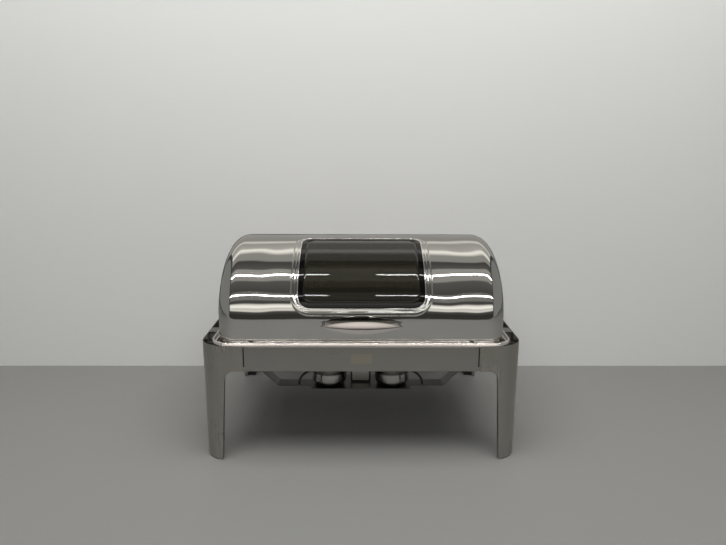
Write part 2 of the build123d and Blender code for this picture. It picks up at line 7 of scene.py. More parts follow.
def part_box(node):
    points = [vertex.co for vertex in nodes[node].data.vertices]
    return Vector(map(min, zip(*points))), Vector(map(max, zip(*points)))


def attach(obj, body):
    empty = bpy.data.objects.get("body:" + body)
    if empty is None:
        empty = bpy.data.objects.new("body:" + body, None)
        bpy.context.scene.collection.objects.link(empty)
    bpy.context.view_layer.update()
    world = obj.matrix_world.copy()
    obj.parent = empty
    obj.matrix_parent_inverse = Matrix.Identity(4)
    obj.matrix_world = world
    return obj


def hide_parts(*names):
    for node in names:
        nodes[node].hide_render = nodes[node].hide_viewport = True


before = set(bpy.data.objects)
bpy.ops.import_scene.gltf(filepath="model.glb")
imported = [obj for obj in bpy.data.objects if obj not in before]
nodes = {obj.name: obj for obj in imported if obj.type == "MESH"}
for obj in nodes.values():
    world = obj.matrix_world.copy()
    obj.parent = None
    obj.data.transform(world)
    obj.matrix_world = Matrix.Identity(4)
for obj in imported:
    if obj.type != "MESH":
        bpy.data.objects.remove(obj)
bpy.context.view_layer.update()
MM = 0.001

# -------- places read from the frame
panel_low, panel_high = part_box("end_panel_right")
surround_low, surround_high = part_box("surround")
shell_low, shell_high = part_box("lid_shell")
handle_low, handle_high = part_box("lid_handle")
bush_low, bush_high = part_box("pivot_bush_right")
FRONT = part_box("skirt_front")[0].y
FRAME_HALF_X = panel_high.x
FRAME_BACK = panel_high.y
FRAME_MID_Y = (panel_low.y + panel_high.y) / 2
FRAME_TOP = panel_high.z
PIVOT_Y = (bush_low.y + bush_high.y) / 2
LID_HALF_X = shell_high.x
LID_EDGE_Z = shell_low.z

# -------- sizes of the sheet metal, in metres
SHEET = 1.2 * MM
PANEL_SKIN = 1.15 * MM
SKIRT_SKIN = 1.1 * MM
SKIRT_BEND = 1.6 * MM
SKIRT_PITCH = 20 * MM
CORNER_RADIUS = 48 * MM
ARCH_TOP = 198 * MM
ARCH_FILLET = 20 * MM
LEG_TOP = 52 * MM
LEG_FOOT = 39 * MM
RETURN = 9 * MM
SOLE = 1.5 * MM
SEAM_OUTER = 240.0 * MM
SEAM_INNER = 237.4 * MM
TAB_INNER = 216 * MM
TAB_OUTER = 261 * MM
TAB_LEVELS = (207 * MM, 246 * MM)
TAB_DEPTHS = (1.25 * MM, 2.35 * MM)
PLATE_BEVEL = 0.3 * MM
LID_HALF_Y = 201 * MM
LID_STRIP_TOP = 300 * MM
LID_RISE = 144 * MM
LID_FILLET = 38 * MM
LID_SKIN = 1.1 * MM
FINE_REACH = 42 * MM
FINE_MARGIN = 3 * MM
FINE_STEP = 1 * MM
COARSE_STEP = 6 * MM
BOSS_RISE = 2 * MM
BOSS_MARGIN = 14.5 * MM
BEAD_SLOPE = 2.6 * MM
BEAD_WIDTH = 7 * MM
BEAD_DROP = 1.1 * MM
WINDOW_HALF = 128.5 * MM
WINDOW_LOW = 11.0
WINDOW_HIGH = 78.5
WINDOW_CORNER = 25 * MM
WINDOW_STEPS = 14
PANE_INSET = 7 * MM
PANE_HEIGHT = 2.2 * MM
PANE_THICKNESS = 2.6 * MM
HANDLE_BOW = 9 * MM
HANDLE_PLATE = 6 * MM
HANDLE_EDGE = 1.2 * MM
HANDLE_RIDGE = 3.7 * MM
RIDGE_LEVEL = -1 / 3
RIDGE_ROUND = 0.12
HANDLE_TIP = 0.3 * MM
ROLL_RADIUS = 3.1 * MM
RIM_CORNER = 38 * MM
RIM_BULGE = 0.22 * MM
RIM_CREST = 0.9 * MM
DECK_HALF_X = 299 * MM
DECK_FRONT = 24 * MM
DECK_BACK = 434 * MM
DECK_CORNER = 8 * MM
LIP_DROP = 5.6 * MM
LIP_HALF = 250 * MM
LIP_FADE = 22 * MM
CUP_ROUND = 14 * MM
CUP_WALL = 1.5 * MM
CUP_DIMPLE = 1.2 * MM
CUP_STEPS = 72
COVER_GAP = 1 * MM
COVER_WALL = 1.2 * MM
COVER_ROUND = 2 * MM
FLAME_OFFSET = 16 * MM
FLAME_HOLE = 20 * MM
GRIP_REACH = 88 * MM
GRIP_TURN = 35.0
GRIP_RADIUS = 3.5 * MM
GRIP_END = 0.08
GRIP_FLATNESS = 0.85
BAR_KNEE = 165 * MM
BAR_FLAT = 197 * MM
BAR_BEND = 14 * MM
BAR_THICKNESS = 2 * MM
PAN_CORNER = 30 * MM
PAN_SHEET = 1 * MM
PAN_LIP = 4 * MM
PAN_BEND = 14 * MM
PAN_DISH = 0.6 * MM
WATER_PAN_HALF = (256.2 * MM, 153.2 * MM)
FOOD_PAN_HALF = (248 * MM, 145.5 * MM)


# ======== mesh tools
def new_piece(name, vertices, faces, body, material, replaces=(), crease=None):
    """A mesh object made from points and faces, riding on a body of the frame.

    Its shading is smooth, with a crease wherever faces meet at more than an angle in degrees.
    """
    mesh = bpy.data.meshes.new(name)
    mesh.from_pydata([tuple(v) for v in vertices], [], faces)
    mesh.validate()
    bm = bmesh.new()
    bm.from_mesh(mesh)
    bmesh.ops.remove_doubles(bm, verts=bm.verts, dist=1e-6)
    bmesh.ops.recalc_face_normals(bm, faces=bm.faces)
    bm.normal_update()
    if crease:
        for edge in bm.edges:
            edge.smooth = len(edge.link_faces) == 2 and edge.calc_face_angle(pi) < radians(crease)
    bm.to_mesh(mesh)
    bm.free()
    mesh.polygons.foreach_set("use_smooth", [True] * len(mesh.polygons))
    piece = bpy.data.objects.new(name, mesh)
    bpy.context.scene.collection.objects.link(piece)
    mesh.materials.append(material)
    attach(piece, body)
    if replaces:
        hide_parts(*replaces)
    return piece


def add_thickness(piece, thickness, even=True):
    """Gives a sheet its thickness on its inner side, kept even round bends unless even is false."""
    solid = piece.modifiers.new("Thickness", "SOLIDIFY")
    solid.thickness = thickness
    solid.offset = -1.0
    solid.use_even_offset = even


def add_bevel(piece, width, angle):
    """Rounds every edge that is sharper than an angle."""
    bevel = piece.modifiers.new("Edges", "BEVEL")
    bevel.width = width
    bevel.segments = 2
    bevel.limit_method = "ANGLE"
    bevel.angle_limit = radians(angle)
    bevel.harden_normals = True
    bevel.use_clamp_overlap = True


def turn_faces(piece, wanted):
    """Turns a sheet's normals round if most of its area faces away from the side that is wanted.

    Wanted gives each face a number that is above 0 when the face looks the right way.
    """
    bm = bmesh.new()
    bm.from_mesh(piece.data)
    if sum(wanted(face) * face.calc_area() for face in bm.faces) < 0:
        bmesh.ops.reverse_faces(bm, faces=bm.faces)
    bm.to_mesh(piece.data)
    bm.free()


def outward(face):
    """How much a face of the frame looks away from the frame's middle."""
    centre = face.calc_center_median()
    return Vector((centre.x, centre.y - FRAME_MID_Y, 0)).dot(face.normal)


def grid_faces(rows, columns, wrap_rows=False, wrap_columns=False):
    """Quads between rows of points that are stored one row after another."""
    faces = []
    for r in range(rows if wrap_rows else rows - 1):
        for c in range(columns if wrap_columns else columns - 1):
            r2 = (r + 1) % rows
            c2 = (c + 1) % columns
            faces.append((r * columns + c, r * columns + c2, r2 * columns + c2, r2 * columns + c))
    return faces


def loft(loops, close_section=False):
    """Points and quads between closed loops that all have the same number of points."""
    vertices = [point for loop in loops for point in loop]
    return vertices, grid_faces(len(loops), len(loops[0]), close_section, True)


def rounded_loop(half_x, half_y, radius, arc_steps, straight_steps):
    """Points round a rounded rectangle, anticlockwise from its right side."""
    points = []
    corners = ((1, 1), (-1, 1), (-1, -1), (1, -1))
    for index, (sx, sy) in enumerate(corners):
        centre_x = sx * (half_x - radius)
        centre_y = sy * (half_y - radius)
        for step in range(arc_steps + 1):
            angle = radians(90 * index + 90 * step / arc_steps)
            points.append((centre_x + radius * cos(angle), centre_y + radius * sin(angle)))
        last = points[-1]
        next_x, next_y = corners[(index + 1) % 4]
        next_angle = radians(90 * index + 90)
        target_x = next_x * (half_x - radius) + radius * cos(next_angle)
        target_y = next_y * (half_y - radius) + radius * sin(next_angle)
        for step in range(1, straight_steps):
            share = step / straight_steps
            points.append((last[0] + (target_x - last[0]) * share, last[1] + (target_y - last[1]) * share))
    return points


def revolve(profile, centre, axis, segments):
    """Points and quads of a profile of (radius, height) pairs turned about an axis."""
    vertices = []
    for radius, height in profile:
        for step in range(segments):
            angle = 2 * pi * step / segments
            a = radius * cos(angle)
            b = radius * sin(angle)
            offset = (a, b, height) if axis == "Z" else (a, height, b)
            vertices.append(Vector(centre) + Vector(offset))
    faces = grid_faces(len(profile), segments, False, True)
    return vertices, faces


def arc(centre, radius, start, end, steps):
    """Points along a circular arc as pairs, angles in degrees."""
    points = []
    for step in range(steps + 1):
        angle = radians(start + (end - start) * step / steps)
        points.append((centre[0] + radius * cos(angle), centre[1] + radius * sin(angle)))
    return points


# ======== materials
GRAIN_ALONG = 4
GRAIN_ACROSS = 900
CALM_FADE = 20 * MM


def node_maker(material):
    """Returns a function that adds a node, and the material's links."""
    tree = material.node_tree

    def add(kind, inputs=None, **settings):
        node = tree.nodes.new(kind)
        for key, value in settings.items():
            setattr(node, key, value)
        for key, value in (inputs or {}).items():
            node.inputs[key].default_value = value
        return node

    return add, tree.links


def start_material(name, color, metallic, roughness):
    """A material with its Principled shader set to plain values."""
    material = bpy.data.materials.new(name)
    material.use_nodes = True
    shader = material.node_tree.nodes["Principled BSDF"]
    shader.inputs["Base Color"].default_value = (*color, 1)
    shader.inputs["Metallic"].default_value = metallic
    shader.inputs["Roughness"].default_value = roughness
    return material, shader


def add_cloud(add, links, place, scale, detail, low, high):
    """A soft noise over a surface, and a roughness between two values that follows it."""
    cloud = add("ShaderNodeTexNoise", {"Scale": scale, "Detail": detail})
    links.new(place.outputs["Object"], cloud.inputs["Vector"])
    gloss = add("ShaderNodeMapRange", {"To Min": low, "To Max": high})
    links.new(cloud.outputs["Fac"], gloss.inputs["Value"])
    return cloud, gloss


def add_tint(add, links, cloud, color, low, high):
    """A colour that a noise varies between two multiples of it."""
    tint = add("ShaderNodeMix", data_type="RGBA")
    tint.inputs["A"].default_value = (*[c * low for c in color], 1)
    tint.inputs["B"].default_value = (*[min(1.0, c * high) for c in color], 1)
    links.new(cloud.outputs["Fac"], tint.inputs["Factor"])
    return tint.outputs["Result"]


def steel(
    name,
    color,
    roughness,
    grain=None,
    grain_depth=0.0,
    smudge=0.05,
    wave=0.0,
    waves=(1, 1, 1),
    calm_below=-1.0,
):
    """Stainless steel: grain runs along an axis, smudge varies the gloss, wave bends mirrors."""
    material, shader = start_material(name, color, 1.0, roughness)
    add, links = node_maker(material)
    place = add("ShaderNodeTexCoord")
    cloud, gloss = add_cloud(add, links, place, 9.0, 6.0, roughness - smudge / 2, roughness + smudge)
    cloud.inputs["Roughness"].default_value = 0.62
    gloss.inputs["From Min"].default_value = 0.35
    gloss.inputs["From Max"].default_value = 0.75
    rough_out = gloss.outputs["Result"]
    color_out = add_tint(add, links, cloud, color, 0.94, 1.04)
    if grain:
        stretch = [GRAIN_ALONG if axis == grain else GRAIN_ACROSS for axis in "XYZ"]
        mapping = add("ShaderNodeMapping", {"Scale": stretch})
        links.new(place.outputs["Object"], mapping.inputs["Vector"])
        lines = add("ShaderNodeTexNoise", {"Scale": 1.0, "Detail": 3.0, "Roughness": 0.7})
        links.new(mapping.outputs["Vector"], lines.inputs["Vector"])
        spread = add("ShaderNodeMapRange", {"To Min": -0.07, "To Max": 0.07})
        links.new(lines.outputs["Fac"], spread.inputs["Value"])
        total = add("ShaderNodeMath", operation="ADD")
        links.new(rough_out, total.inputs[0])
        links.new(spread.outputs["Result"], total.inputs[1])
        rough_out = total.outputs["Value"]
        grain_bump = add("ShaderNodeBump", {"Strength": 0.25, "Distance": grain_depth})
        links.new(lines.outputs["Fac"], grain_bump.inputs["Height"])
        links.new(grain_bump.outputs["Normal"], shader.inputs["Normal"])
    if wave:
        stretched = add("ShaderNodeMapping", {"Scale": waves})
        links.new(place.outputs["Object"], stretched.inputs["Vector"])
        slow = add("ShaderNodeTexNoise", {"Scale": 1.0, "Detail": 1.0, "Roughness": 0.4})
        links.new(stretched.outputs["Vector"], slow.inputs["Vector"])
        wave_bump = add("ShaderNodeBump", {"Strength": 1.0, "Distance": wave})
        split = add("ShaderNodeSeparateXYZ")
        links.new(place.outputs["Object"], split.inputs[0])
        above = add("ShaderNodeMapRange")
        above.inputs["From Min"].default_value = calm_below
        above.inputs["From Max"].default_value = calm_below + CALM_FADE
        links.new(split.outputs["Z"], above.inputs["Value"])
        links.new(above.outputs["Result"], wave_bump.inputs["Strength"])
        links.new(slow.outputs["Fac"], wave_bump.inputs["Height"])
        if grain:
            links.new(wave_bump.outputs["Normal"], grain_bump.inputs["Normal"])
        else:
            links.new(wave_bump.outputs["Normal"], shader.inputs["Normal"])
    links.new(color_out, shader.inputs["Base Color"])
    links.new(rough_out, shader.inputs["Roughness"])
    return material


def moulded(name, color, roughness, depth=0.00006, specular=0.5):
    """Moulded plastic or rubber with a fine grain and slightly uneven gloss."""
    material, shader = start_material(name, color, 0.0, roughness)
    shader.inputs["Specular IOR Level"].default_value = specular
    add, links = node_maker(material)
    place = add("ShaderNodeTexCoord")
    grain = add("ShaderNodeTexNoise", {"Scale": GRAIN_ACROSS, "Detail": 2.0})
    links.new(place.outputs["Object"], grain.inputs["Vector"])
    bump = add("ShaderNodeBump", {"Strength": 0.5, "Distance": depth})
    links.new(grain.outputs["Fac"], bump.inputs["Height"])
    links.new(bump.outputs["Normal"], shader.inputs["Normal"])
    cloud, gloss = add_cloud(add, links, place, 25.0, 4.0, roughness * 0.8, roughness * 1.25)
    links.new(gloss.outputs["Result"], shader.inputs["Roughness"])
    links.new(add_tint(add, links, cloud, color, 0.8, 1.25), shader.inputs["Base Color"])
    return material


def smoked_glass():
    """Dark glass that shows a little of what is behind it."""
    material, shader = start_material("smoked_glass", (0.055, 0.051, 0.030), 0.0, 0.015)
    shader.inputs["Transmission Weight"].default_value = 0.85
    shader.inputs["IOR"].default_value = 1.5
    add, links = node_maker(material)
    place = add("ShaderNodeTexCoord")
    gloss = add_cloud(add, links, place, 18.0, 5.0, 0.005, 0.03)[1]
    links.new(gloss.outputs["Result"], shader.inputs["Roughness"])
    return material


MIRROR = steel(
    "mirror_steel", (0.585, 0.58, 0.555), 0.055, smudge=0.01, wave=0.0065, waves=(9, 7, 7), calm_below=0.30
)
RIM = steel("rim_steel", (0.92, 0.87, 0.84), 0.25, smudge=0.02)
BLADE = steel("blade_steel", (0.86, 0.80, 0.77), 0.14, smudge=0.04)
SATIN = steel("satin_steel", (0.40, 0.385, 0.35), 0.30, grain="Z", grain_depth=0.00004, smudge=0.06)
SKIRT = steel("skirt_steel", (0.37, 0.365, 0.34), 0.32, grain="X", grain_depth=0.00004, smudge=0.06)
BADGE = steel("badge_steel", (0.44, 0.405, 0.34), 0.36, grain="X", grain_depth=0.00006)
MILL = steel("mill_steel", (0.24, 0.24, 0.23), 0.33, grain="X", grain_depth=0.00005, smudge=0.10)
# Painted shade: the strap and the burner platform get a darker copy of the mill steel, standing in for the
# shade they sit in under the frame.
BAR_PAINTED_SHADE = steel("bar_steel_painted_shade", (0.15, 0.15, 0.145), 0.36, grain="X", grain_depth=0.00005, smudge=0.10)
# Painted shade: the tabs behind the skirt seams are near-black steel that stands in for the shade inside the
# seam gaps.
TAB_PAINTED_SHADE = steel("tab_steel_painted_shade", (0.05, 0.05, 0.048), 0.45)
BRIGHT = steel("bright_steel", (0.68, 0.68, 0.66), 0.20, smudge=0.08)
PAN = steel("pan_steel", (0.60, 0.60, 0.58), 0.22, smudge=0.10, wave=0.0002, waves=(20, 20, 20))
BURNER = steel("burner_steel", (0.44, 0.425, 0.40), 0.12, smudge=0.08)
BEAD = steel("bead_steel", (0.94, 0.93, 0.91), 0.14, smudge=0.02)
RUBBER = moulded("black_rubber", (0.012, 0.012, 0.013), 0.42)
BORDER = moulded("glass_border", (0.001, 0.001, 0.001), 0.02, depth=0.0000002, specular=0.34)
BLACK = moulded("black_moulding", (0.018, 0.018, 0.019), 0.38)
POST = moulded("dark_spacer", (0.03, 0.03, 0.03), 0.40)
NYLON = moulded("nylon", (0.62, 0.60, 0.55), 0.45)
GLASS = smoked_glass()


# ======== lid
def lid_outline(steps_arc):
    """The lid's outline from its front edge over the top to its rear edge, with outward normals.

    Each entry is (length along the outline, y, z, normal y, normal z).
    """
    raw = []
    for step in range(6):
        z = LID_EDGE_Z + (LID_STRIP_TOP - LID_EDGE_Z) * step / 6
        raw.append((-LID_HALF_Y, z, -1.0, 0.0))
    for step in range(steps_arc + 1):
        angle = pi * step / steps_arc
        y = -LID_HALF_Y * cos(angle)
        z = LID_STRIP_TOP + LID_RISE * sin(angle)
        ny = -LID_RISE * cos(angle)
        nz = LID_HALF_Y * sin(angle)
        size = hypot(ny, nz)
        raw.append((y, z, ny / size, nz / size))
    for step in range(5, -1, -1):
        z = LID_EDGE_Z + (LID_STRIP_TOP - LID_EDGE_Z) * step / 6
        raw.append((LID_HALF_Y, z, 1.0, 0.0))
    outline = []
    length = 0.0
    for index, (y, z, ny, nz) in enumerate(raw):
        if index:
            length += hypot(y - raw[index - 1][0], z - raw[index - 1][1])
        outline.append((length, PIVOT_Y + y, z, ny, nz))
    return outline


FINE_OUTLINE = lid_outline(720)


def at_length(length):
    """The outline's point and normal at a length along it."""
    low = 0
    high = len(FINE_OUTLINE) - 1
    while high - low > 1:
        middle = (low + high) // 2
        if FINE_OUTLINE[middle][0] <= length:
            low = middle
        else:
            high = middle
    a = FINE_OUTLINE[low]
    b = FINE_OUTLINE[high]
    share = min(1.0, max(0.0, (length - a[0]) / (b[0] - a[0])))
    return [a[k] + (b[k] - a[k]) * share for k in range(1, 5)]


def length_at_angle(angle):
    """Length along the outline to an angle of its ellipse, in degrees."""
    y = PIVOT_Y - LID_HALF_Y * cos(radians(angle))
    best = min(FINE_OUTLINE, key=lambda entry: abs(entry[1] - y) if entry[2] > LID_STRIP_TOP else 9)
    return best[0]


WINDOW_START = length_at_angle(WINDOW_LOW)
WINDOW_END = length_at_angle(WINDOW_HIGH)
WINDOW_MIDDLE = (WINDOW_START + WINDOW_END) / 2
WINDOW_HALF_LENGTH = (WINDOW_END - WINDOW_START) / 2


def on_lid(x, length, height):
    """A point at a height above the lid's outer face."""
    y, z, ny, nz = at_length(length)
    return Vector((x, y + ny * height, z + nz * height))


def window_distance(x, length, margin):
    """Distance outside the window's rounded outline grown by a margin, negative inside."""
    radius = WINDOW_CORNER + margin
    qx = abs(x) - (WINDOW_HALF + margin) + radius
    qy = abs(length - WINDOW_MIDDLE) - (WINDOW_HALF_LENGTH + margin) + radius
    return hypot(max(qx, 0), max(qy, 0)) + min(max(qx, qy), 0) - radius


def ease(value):
    """A smooth step from 0 to 1."""
    value = min(1.0, max(0.0, value))
    return value * value * (3 - 2 * value)


def spaced(start, end, step):
    """Evenly spaced values from start up to, but not including, end."""
    count = max(1, round((end - start) / step))
    return [start + (end - start) * k / count for k in range(count)]


def boss_height(x, length):
    """Height of the raised panel: a flat bead along its edge, then a lower field to the window."""
    inside = -window_distance(x, length, BOSS_MARGIN)
    bead = BOSS_RISE * ease(inside / BEAD_SLOPE + 0.5)
    return bead - BEAD_DROP * ease((inside - BEAD_WIDTH) / BEAD_SLOPE + 0.5)


def lid_stations():
    """Places along X as (x, inset of the outline), from the left end to the right."""
    flat = LID_HALF_X - LID_FILLET
    edge = WINDOW_HALF + BOSS_MARGIN
    right = spaced(0, edge - FINE_REACH, 9 * MM)
    right += spaced(edge - FINE_REACH, edge + FINE_MARGIN, FINE_STEP)
    right += spaced(edge + FINE_MARGIN, flat, 8 * MM)
    stations = [(x, 0.0) for x in right]
    for step in range(21):
        angle = radians(90 * step / 20)
        stations.append((flat + LID_FILLET * sin(angle), LID_FILLET * (1 - cos(angle))))
    left = [(-x, inset) for x, inset in reversed(stations[1:])]
    return left + stations


def lid_lengths():
    """Places along the outline: close together where the raised panel's edges are."""
    total = FINE_OUTLINE[-1][0]
    low = WINDOW_START - BOSS_MARGIN
    high = WINDOW_END + BOSS_MARGIN
    lengths = spaced(0, low - FINE_MARGIN, COARSE_STEP)
    lengths += spaced(low - FINE_MARGIN, low + FINE_REACH, FINE_STEP)
    lengths += spaced(low + FINE_REACH, high - FINE_REACH, COARSE_STEP)
    lengths += spaced(high - FINE_REACH, high + FINE_MARGIN, FINE_STEP)
    lengths += spaced(high + FINE_MARGIN, total, COARSE_STEP)
    return lengths + [total]


def make_lid_skin():
    """The polished lid: upright sides, elliptical top, rounded ends and a raised window panel."""
    stations = lid_stations()
    lengths = lid_lengths()
    columns = len(lengths)
    vertices = []
    for x, inset in stations:
        for length in lengths:
            vertices.append(on_lid(x, length, boss_height(x, length) - inset))
    faces = []
    for face in grid_faces(len(stations), columns):
        row, column = divmod(face[0], columns)
        middle_x = (stations[row][0] + stations[row + 1][0]) / 2
        middle_length = (lengths[column] + lengths[column + 1]) / 2
        if window_distance(middle_x, middle_length, -5 * MM) > 0:
            faces.append(face)
    for side, row in ((-1, 0), (1, len(stations) - 1)):
        rim = [vertices[row * columns + c] for c in range(columns)]
        previous = [row * columns + c for c in range(columns)]
        for ring in range(1, 9):
            share = ring / 8
            current = []
            for point in rim:
                y = point.y + (PIVOT_Y - point.y) * share
                z = point.z + (LID_EDGE_Z - point.z) * share
                current.append(len(vertices))
                vertices.append(Vector((side * LID_HALF_X, y, z)))
            for c in range(columns - 1):
                faces.append((previous[c], previous[c + 1], current[c + 1], current[c]))
            previous = current
    piece = new_piece("lid_skin", vertices, faces, "lid", MIRROR, ["lid_shell"])
    add_thickness(piece, LID_SKIN)


def window_loops(section):
    """Loops round the window, one for each (margin, height) of a section."""
    loops = []
    for margin, height in section:
        outline = rounded_loop(
            WINDOW_HALF + margin,
            WINDOW_HALF_LENGTH + margin,
            WINDOW_CORNER + margin,
            WINDOW_STEPS,
            WINDOW_STEPS,
        )
        loops.append([on_lid(x, WINDOW_MIDDLE + s, height) for x, s in outline])
    return loops


def make_window():
    """The black border, the bright bead round it and the curved smoked pane."""
    border = [(0.3, -1.1), (0.3, 1.9), (0.1, 2.2), (-0.4, 2.3), (-9.9, 2.3), (-10, 2.2), (-10, -1.1)]
    vertices, faces = loft(window_loops([(m * MM, h * MM) for m, h in border]), True)
    new_piece("window_seal", vertices, faces, "lid", BORDER, ["window_gasket"], 25)
    bead = arc((1.3 * MM, 1.9 * MM), 1.1 * MM, 0, 324, 9)
    vertices, faces = loft(window_loops(bead), True)
    new_piece("window_bead", vertices, faces, "lid", BEAD, ["window_trim"])
    half_x = WINDOW_HALF - PANE_INSET
    half_length = WINDOW_HALF_LENGTH - PANE_INSET
    outline = rounded_loop(half_x, half_length, WINDOW_CORNER - PANE_INSET, 10, 10)
    loops = []
    for ring in range(15):
        share = 1 - ring / 14
        loops.append([on_lid(x * share, WINDOW_MIDDLE + s * share, PANE_HEIGHT) for x, s in outline])
    vertices, faces = loft(loops)
    pane = new_piece("window_pane", vertices, faces, "lid", GLASS, ["window_glass"])
    add_thickness(pane, PANE_THICKNESS)


def make_handle():
    """The bowed grip: lens-shaped from the front, with two facets that meet in a ridge."""
    half = (handle_high.x - handle_low.x) / 2
    half_height = (handle_high.z - handle_low.z) / 2
    level = (handle_low.z + handle_high.z) / 2
    steps = 60
    loops = []
    for step in range(steps + 1):
        share = 0.998 * (2 * step / steps - 1)
        fullness = 1 - share * share
        local = half_height * fullness + HANDLE_TIP
        back = handle_low.y + HANDLE_PLATE + HANDLE_BOW * share * share
        section = []
        for k in range(13):
            v = 1 - k / 6
            away = (v - RIDGE_LEVEL) / (1 - RIDGE_LEVEL if v > RIDGE_LEVEL else 1 + RIDGE_LEVEL)
            crest = max(0.0, (1 + RIDGE_ROUND) * (1 - hypot(away, RIDGE_ROUND)))
            section.append((v * local, back - HANDLE_EDGE - HANDLE_RIDGE * fullness * crest))
        section += [(-0.97 * local, back), (0.0, back), (0.97 * local, back)]
        loops.append([Vector((share * half, y, level + dz)) for dz, y in section])
    vertices, faces = loft(loops)
    count = len(loops[0])
    faces.append(tuple(range(count)))
    faces.append(tuple(range(len(vertices) - 1, len(vertices) - count - 1, -1)))
    new_piece("handle_blade", vertices, faces, "lid", BLADE, ["lid_handle"], 30)
    for name in ("left", "right"):
        low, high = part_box(f"handle_post_{name}")
        centre = ((low.x + high.x) / 2, 0, (low.z + high.z) / 2)
        profile = [
            (0.0, low.y),
            (2.6 * MM, low.y),
            (3.0 * MM, low.y + 0.4 * MM),
            (2.7 * MM, low.y + 2 * MM),
            (2.7 * MM, high.y - 2 * MM),
            (3.0 * MM, high.y - 0.4 * MM),
            (3.0 * MM, high.y),
            (0.0, high.y),
        ]
        vertices, faces = revolve(profile, centre, "Y", 40)
        new_piece(f"post_{name}", vertices, faces, "lid", POST, [f"handle_post_{name}"], 40)


# ======== surround
def rim_section(drop):
    """The rim's closed section as (outward, up): a curl with a face that slopes out to its lip."""
    roll = ROLL_RADIUS
    section = arc((0.0, 0.0), roll, 90, 270, 10)
    section += [(0.9 * MM, -roll), (0.9 * MM, -drop - 0.05 * MM), (1.4 * MM, -drop - 0.3 * MM)]
    section += [(2.6 * MM, -drop - 0.3 * MM)]
    low = (roll, 0.4 * MM - drop)
    for step in range(8):
        share = step / 8
        bulge = RIM_BULGE * 4 * share * (1 - share)
        out = low[0] * (1 - share) + RIM_CREST * share
        section.append((out + bulge, low[1] + (roll - low[1]) * share + bulge * 0.3))
    return section


def rim_outward(x, y, half_x, half_y, radius):
    """The outward direction in plan at a point of the rim's rounded outline."""
    corner_x = max(0.0, abs(x) - (half_x - radius))
    corner_y = max(0.0, abs(y) - (half_y - radius))
    size = hypot(corner_x, corner_y)
    return (corner_x / size * (1 if x > 0 else -1), corner_y / size * (1 if y > 0 else -1))


def make_surround():
    """The rolled rim and the flat ring inside it."""
    roll = ROLL_RADIUS
    half_x = surround_high.x - roll
    half_y = (surround_high.y - surround_low.y) / 2 - roll
    middle = (surround_high.y + surround_low.y) / 2
    level = surround_high.z - roll
    radius = RIM_CORNER - roll
    outline = rounded_loop(half_x, half_y, radius, 16, 12)
    section_length = len(rim_section(roll))
    loops = [[] for k in range(section_length)]
    for x, y in outline:
        out_x, out_y = rim_outward(x, y, half_x, half_y, radius)
        fade = ease((abs(x) - LIP_HALF) / LIP_FADE) if abs(y) > half_y * 0.9 else 1.0
        section = rim_section(LIP_DROP + (roll - LIP_DROP) * fade)
        for loop, (out, up) in zip(loops, section):
            loop.append(Vector((x + out_x * out, middle + y + out_y * out, level + up)))
    vertices, faces = loft(loops, True)
    new_piece("rim_roll", vertices, faces, "frame", RIM, ["surround"])
    opening_mid = FRONT + (DECK_FRONT + DECK_BACK) / 2
    opening_half = (DECK_BACK - DECK_FRONT) / 2
    top = FRAME_TOP + SHEET
    rings = []
    outline = rounded_loop(half_x, half_y, radius, 10, 1)
    rings.append([Vector((x, middle + y, top)) for x, y in outline])
    for inset, drop in ((0.0, 0.0), (0.5, 0.15), (0.8, 0.5), (0.8, 0.9)):
        outline = rounded_loop(DECK_HALF_X - inset * MM, opening_half - inset * MM, DECK_CORNER, 10, 1)
        rings.append([Vector((x, opening_mid + y, top - drop * MM)) for x, y in outline])
    vertices, faces = loft(rings)
    deck = new_piece("rim_deck", vertices, faces, "frame", RIM, crease=30)
    add_thickness(deck, 1.0 * MM, even=False)


# ======== end panels and skirts
def leg_edge(half_span):
    """The arch's edge from the skirt seam down to the foot, as (distance along the face, height)."""
    top = half_span - LEG_TOP
    foot = half_span - LEG_FOOT
    lean = atan2(foot - top, ARCH_TOP)
    cut = ARCH_FILLET * (1 - sin(lean)) / cos(lean)
    centre = (top - cut, ARCH_TOP - ARCH_FILLET)
    points = arc(centre, ARCH_FILLET, 90, degrees(lean), 12)
    end = points[-1]
    steps = 14
    for step in range(1, steps + 1):
        share = step / steps
        z = end[1] + (SOLE - end[1]) * share
        points.append((foot + (top - foot) * z / ARCH_TOP, z))
    return points


def on_plan(along, half_span, other_half):
    """Where a distance along a face lies in plan, round the frame's corner if it is past the flat."""
    flat = half_span - CORNER_RADIUS
    if along <= flat:
        return along, other_half, 0.0, 1.0
    turn = (along - flat) / CORNER_RADIUS
    turn = min(1.0, turn)
    depth = CORNER_RADIUS * (1 - sqrt(1 - turn * turn))
    return along, other_half - depth, turn, sqrt(1 - turn * turn)


